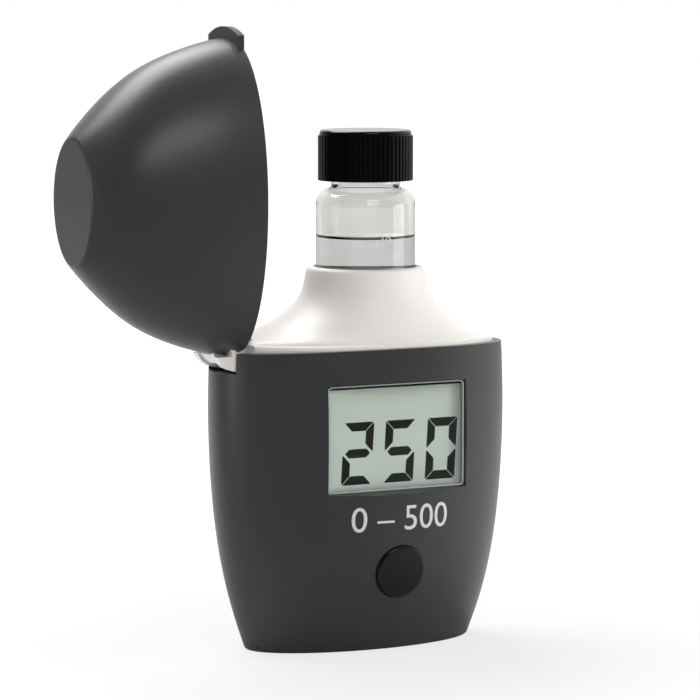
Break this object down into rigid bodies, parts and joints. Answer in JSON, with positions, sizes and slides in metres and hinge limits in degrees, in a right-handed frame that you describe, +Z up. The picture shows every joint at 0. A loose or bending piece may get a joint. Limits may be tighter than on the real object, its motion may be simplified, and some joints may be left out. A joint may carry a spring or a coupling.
{
  "type": "portable colorimeter",
  "caption": "Pocket colorimeter with an oval body, a display and a push button, a hinged lid and a capped glass cuvette in a white collar.",
  "frame": {"origin": "centre of the flat oval foot, where the instrument stands", "axes": "+Z up along the body, -Y towards the display side, +X towards the thumb tab's end and -X towards the lid hinge"},
  "size_m": [0.0842, 0.0372, 0.1124],
  "materials": {
    "shell_grey": "fine matt grain, dark grey",
    "cover_white": "warm white, satin",
    "pale_trim": "pale grey, glossy",
    "holder_black": "black, matt",
    "seal_rubber": "black, soft",
    "screw_steel": "bright zinc",
    "pin_steel": "ground",
    "vial_glass": "clear, polished",
    "sample_water": "clear liquid",
    "cap_black": "black, glossy, ribbed",
    "liner_foam": "white, soft",
    "window_clear": "clear acrylic",
    "display_grey": "greenish grey, satin",
    "display_frame": "black",
    "connector_rubber": "striped elastomer",
    "board_green": "solder mask",
    "chip_black": "moulded epoxy",
    "component_tan": "fired",
    "can_metal": "plain",
    "button_black": "black, satin",
    "switch_plastic": "black",
    "cell_jacket": "plain printed jacket",
    "contact_metal": "nickel plated",
    "lamp_lens": "clear epoxy",
    "filter_glass": "coated glass",
    "diode_black": "black"
  },
  "bodies": {
    "base": {"body_shell": "shell_grey", "base_cover": "shell_grey", "base_cover_screw": "screw_steel", "top_cover": "cover_white", "cuvette_holder": "holder_black", "holder_screws": "screw_steel", "top_cover_screws": "screw_steel", "light_seal": "seal_rubber", "light_filter": "filter_glass", "photodiode": "diode_black", "sensor_board": "board_green", "lamp_led": "lamp_lens", "lamp_board": "board_green", "display_window": "window_clear", "display_glass": "display_grey", "display_frame": "display_frame", "display_connectors": "connector_rubber", "main_board": "board_green", "board_screws": "screw_steel", "microcontroller": "chip_black", "crystal": "can_metal", "board_components": "component_tan", "switch_body": "switch_plastic", "battery": "cell_jacket", "battery_minus_contact": "contact_metal", "battery_plus_contact": "contact_metal", "hinge_pin": "pin_steel"},
    "button": {"button_cap": "button_black", "switch_plunger": "switch_plastic"},
    "lid": {"lid_shell": "shell_grey", "lid_hinge_arm": "pale_trim", "arm_rivets": "screw_steel", "latch_tab": "shell_grey"},
    "cuvette": {"cuvette_glass": "vial_glass", "sample_liquid": "sample_water"},
    "cap_carrier": {"cap_liner": "liner_foam"},
    "cap": {"cuvette_cap": "cap_black"}
  },
  "joints": [
    {"name": "lid_hinge", "type": "hinge", "parent": "base", "child": "lid", "pos_m": [-0.0263, 0, 0.05565], "axis": [0, 1, 0], "range_deg": [0, 90]},
    {"name": "cuvette_seat", "type": "slide", "parent": "base", "child": "cuvette", "axis": [0, 0, -1], "range_m": [0, 0.01355]},
    {"name": "cap_rise", "type": "slide", "parent": "cuvette", "child": "cap_carrier", "axis": [0, 0, 1], "range_m": [0, 0.0021]},
    {"name": "cap_turn", "type": "hinge", "parent": "cap_carrier", "child": "cap", "pos_m": [0.00175, 0, 0.0889], "axis": [0, 0, 1], "range_deg": [0, 361]},
    {"name": "button_press", "type": "slide", "parent": "base", "child": "button", "axis": [0, 1, 0], "range_m": [0, 0.0006], "stiffness_N_per_m": 1500, "springref_m": -0.0005}
  ],
  "couplings": [
    {"joint": "cuvette_seat", "follows": "lid_hinge", "m_per_rad": 0.0085944},
    {"joint": "cap_turn", "follows": "cap_rise", "rad_per_m": 2992}
  ]
}
